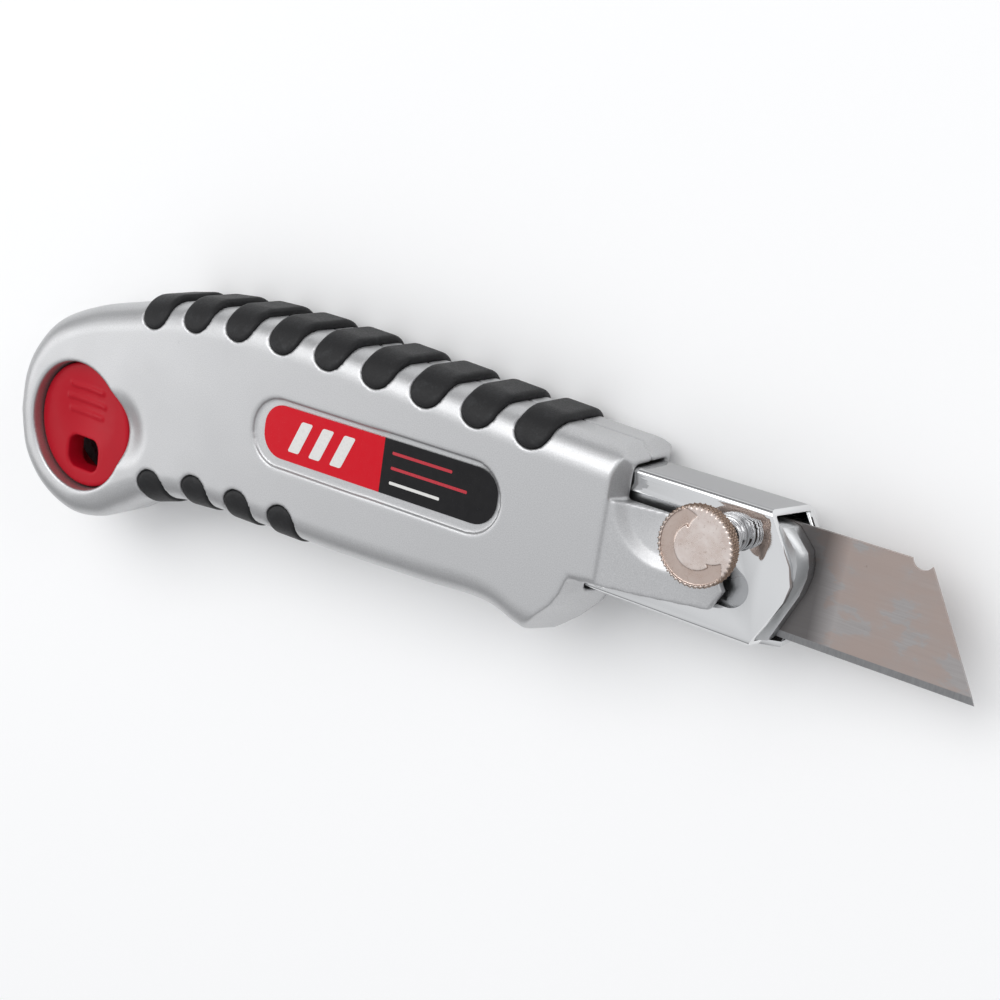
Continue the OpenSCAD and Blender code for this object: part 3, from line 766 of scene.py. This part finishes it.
washer_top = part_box("spring_washer")[1].z
spring("coil_under_knob", "knob_spring", "nose", SCREW, 2.65, 0.9,
       1000 * (washer_top - SHIFT[2]) + 0.01, KNOB_BACK - 0.02, 4.75)
spring("coil_under_button", "button_spring", "handle", BUTTON + [0, 4.6], 3.6, 0.7,
       -5.0, HALF_T - 4.5, 5)

# ---------------------------------------------------------------- sheet metal, guide and blade

# Edge bevels in millimetres
softened("blade_sleeve", "nose", 0.14, M["chrome"])
softened("sleeve_liner", "nose", 0.10, M["chrome"])
softened("blade_guide", "nose", 0.18, M["zinc"])
softened("blade_carrier", "blade", 0.15, M["zinc"])
softened("spring_washer", "nose", 0.08, M["screw"])
softened("housing_screws", "handle", 0.10, M["screw"])
softened("latch_lever", "lever", 0.12, M["plate"])

for node, material in (("active_blade", "blade"), ("spare_blades", "blade"),
                       ("lock_screw", "thread"), ("guide_rivets", "chrome"),
                       ("latch_pin", "spring"), ("magazine_follower", "plate"),
                       ("magazine_spring", "spring")):
    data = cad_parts[node].data
    data.materials.clear()
    data.materials.append(M[material])

# ---------------------------------------------------------------- sticker


def slab(outline, z0, z1):
    """Prism over a closed outline."""
    n = len(outline)
    pts = [(x, y, z) for z in (z0, z1) for x, y in outline]
    faces = [tuple(range(n - 1, -1, -1)), tuple(range(n, 2 * n))]
    faces += [(i, (i + 1) % n, n + (i + 1) % n, n + i) for i in range(n)]
    return pts, faces


def on_label(points):
    """Points laid out from the sticker's middle, turned with it."""
    a = math.radians(LABEL_TURN)
    return [(STICKER[0] + x * math.cos(a) - y * math.sin(a),
             STICKER[1] + x * math.sin(a) + y * math.cos(a)) for x, y in points]


def round_box(cx, cy, w, h, r, slant=0.0):
    """Outline of a rectangle with rounded corners, leaning by slant."""
    pts = []
    for sx, sy, start in ((1, 1, 0), (-1, 1, 90), (-1, -1, 180), (1, -1, 270)):
        for i in range(9):
            t = math.radians(start + i * 11.25)
            px, py = sx * (w / 2 - r) + r * math.cos(t), sy * (h / 2 - r) + r * math.sin(t)
            pts.append((cx + px + slant * py, cy + py))
    return pts


label_top = 1000 * (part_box("label_sticker")[1].z - SHIFT[2])
v, q = slab(on_label(round_box(0, 0, 52.4, 10.0, 4.4)), HALF_T - STICKER_DEPTH, label_top)
piece("label_film", v, q, "handle", ["label_sticker"], M["film"], smooth=False)
# Three bars on the red end and three lines on the black end
marks = []
for cx in (-17.5, -12.5, -7.5):
    marks.append(("white", round_box(cx, 0, 2.6, 6.2, 0.4, 0.45)))
for i, (w, ink) in enumerate(((13.0, "ink_red"), (16.5, "ink_red"), (11.0, "white"))):
    marks.append((ink, round_box(3.6 + w / 2, 2.7 - 2.7 * i, w, 0.55, 0.2)))
for i, (ink, shape) in enumerate(marks):
    v, q = slab(on_label(shape), label_top - 0.05, label_top + 0.03)
    piece(f"label_print_{i}", v, q, "handle", (), M[ink], smooth=False)

# ---------------------------------------------------------------- floor, light and camera

n = Nodes("floor_white")
n.set(Base_Color=n.mix(n.noise(3, 2), (0.95, 0.95, 0.95), (0.965, 0.965, 0.965)), Roughness=0.85)
n.specular(0.15)
mesh = bpy.data.meshes.new("floor")
mesh.from_pydata([(-4, -4, 0), (4, -4, 0), (4, 4, 0), (-4, 4, 0)], [], [(0, 1, 2, 3)])
mesh.materials.append(n.mat)
floor = bpy.data.objects.new("floor", mesh)
scene = bpy.context.scene
scene.collection.objects.link(floor)

scene.view_settings.view_transform = "Standard"
world = bpy.data.worlds.new("studio")
scene.world = world
world.use_nodes = True
tree = world.node_tree
back = tree.nodes["Background"]
back.inputs[1].default_value = 1.0
coord = tree.nodes.new("ShaderNodeTexCoord")
split = tree.nodes.new("ShaderNodeSeparateXYZ")
shade = tree.nodes.new("ShaderNodeValToRGB")
tree.links.new(coord.outputs["Generated"], split.inputs[0])
tree.links.new(split.outputs[2], shade.inputs[0])
tree.links.new(shade.outputs[0], back.inputs[0])
# Sky levels from the horizon up to the zenith
STOPS = [(0.0, 0.17), (0.35, 0.40), (0.6, 0.62), (1.0, 0.80)]
while len(shade.color_ramp.elements) < len(STOPS):
    shade.color_ramp.elements.new(0.5)
for element, (at, level) in zip(shade.color_ramp.elements, STOPS):
    element.position = at
    element.color = (level, level * 1.01, level * 1.03, 1)


def lamp(name, at, size, power, tall=None):
    """Soft rectangular lamp at a place in metres, aimed at the frame's origin."""
    data = bpy.data.lights.new(name, "AREA")
    data.shape = "RECTANGLE"
    data.size, data.size_y = size, tall or size
    data.energy = power
    obj = bpy.data.objects.new(name, data)
    scene.collection.objects.link(obj)
    obj.location = at
    obj.rotation_euler = (-Vector(at)).to_track_quat("-Z", "Y").to_euler()


lamp("overhead", (-0.35, 0.75, 1.15), 1.4, 9.0, 1.0)
lamp("side", (-0.9, -0.1, 0.55), 0.5, 1.2)
lamp("front", (0.75, 0.5, 0.35), 0.35, 1.0)

# Camera axes in the frame: right, up and back
RIGHT = Vector((0.813422, 0.147695, -0.562611))
UP = Vector((-0.278539, 0.948024, -0.153839))
BACK = Vector((0.510648, 0.281845, 0.812282))
camera = bpy.data.objects.new("camera", bpy.data.cameras.new("camera"))
scene.collection.objects.link(camera)
camera.data.sensor_width = 36
camera.data.lens = 56.83
camera.data.clip_start = 0.005
# The camera's place, in metres from the blade's tip
eye = Vector([float(s) for s in SHIFT]) + Vector((0.0535373, 0.0746938, 0.2238543))
camera.matrix_world = Matrix.Translation(eye) @ Matrix((RIGHT, UP, BACK)).transposed().to_4x4()
scene.camera = camera
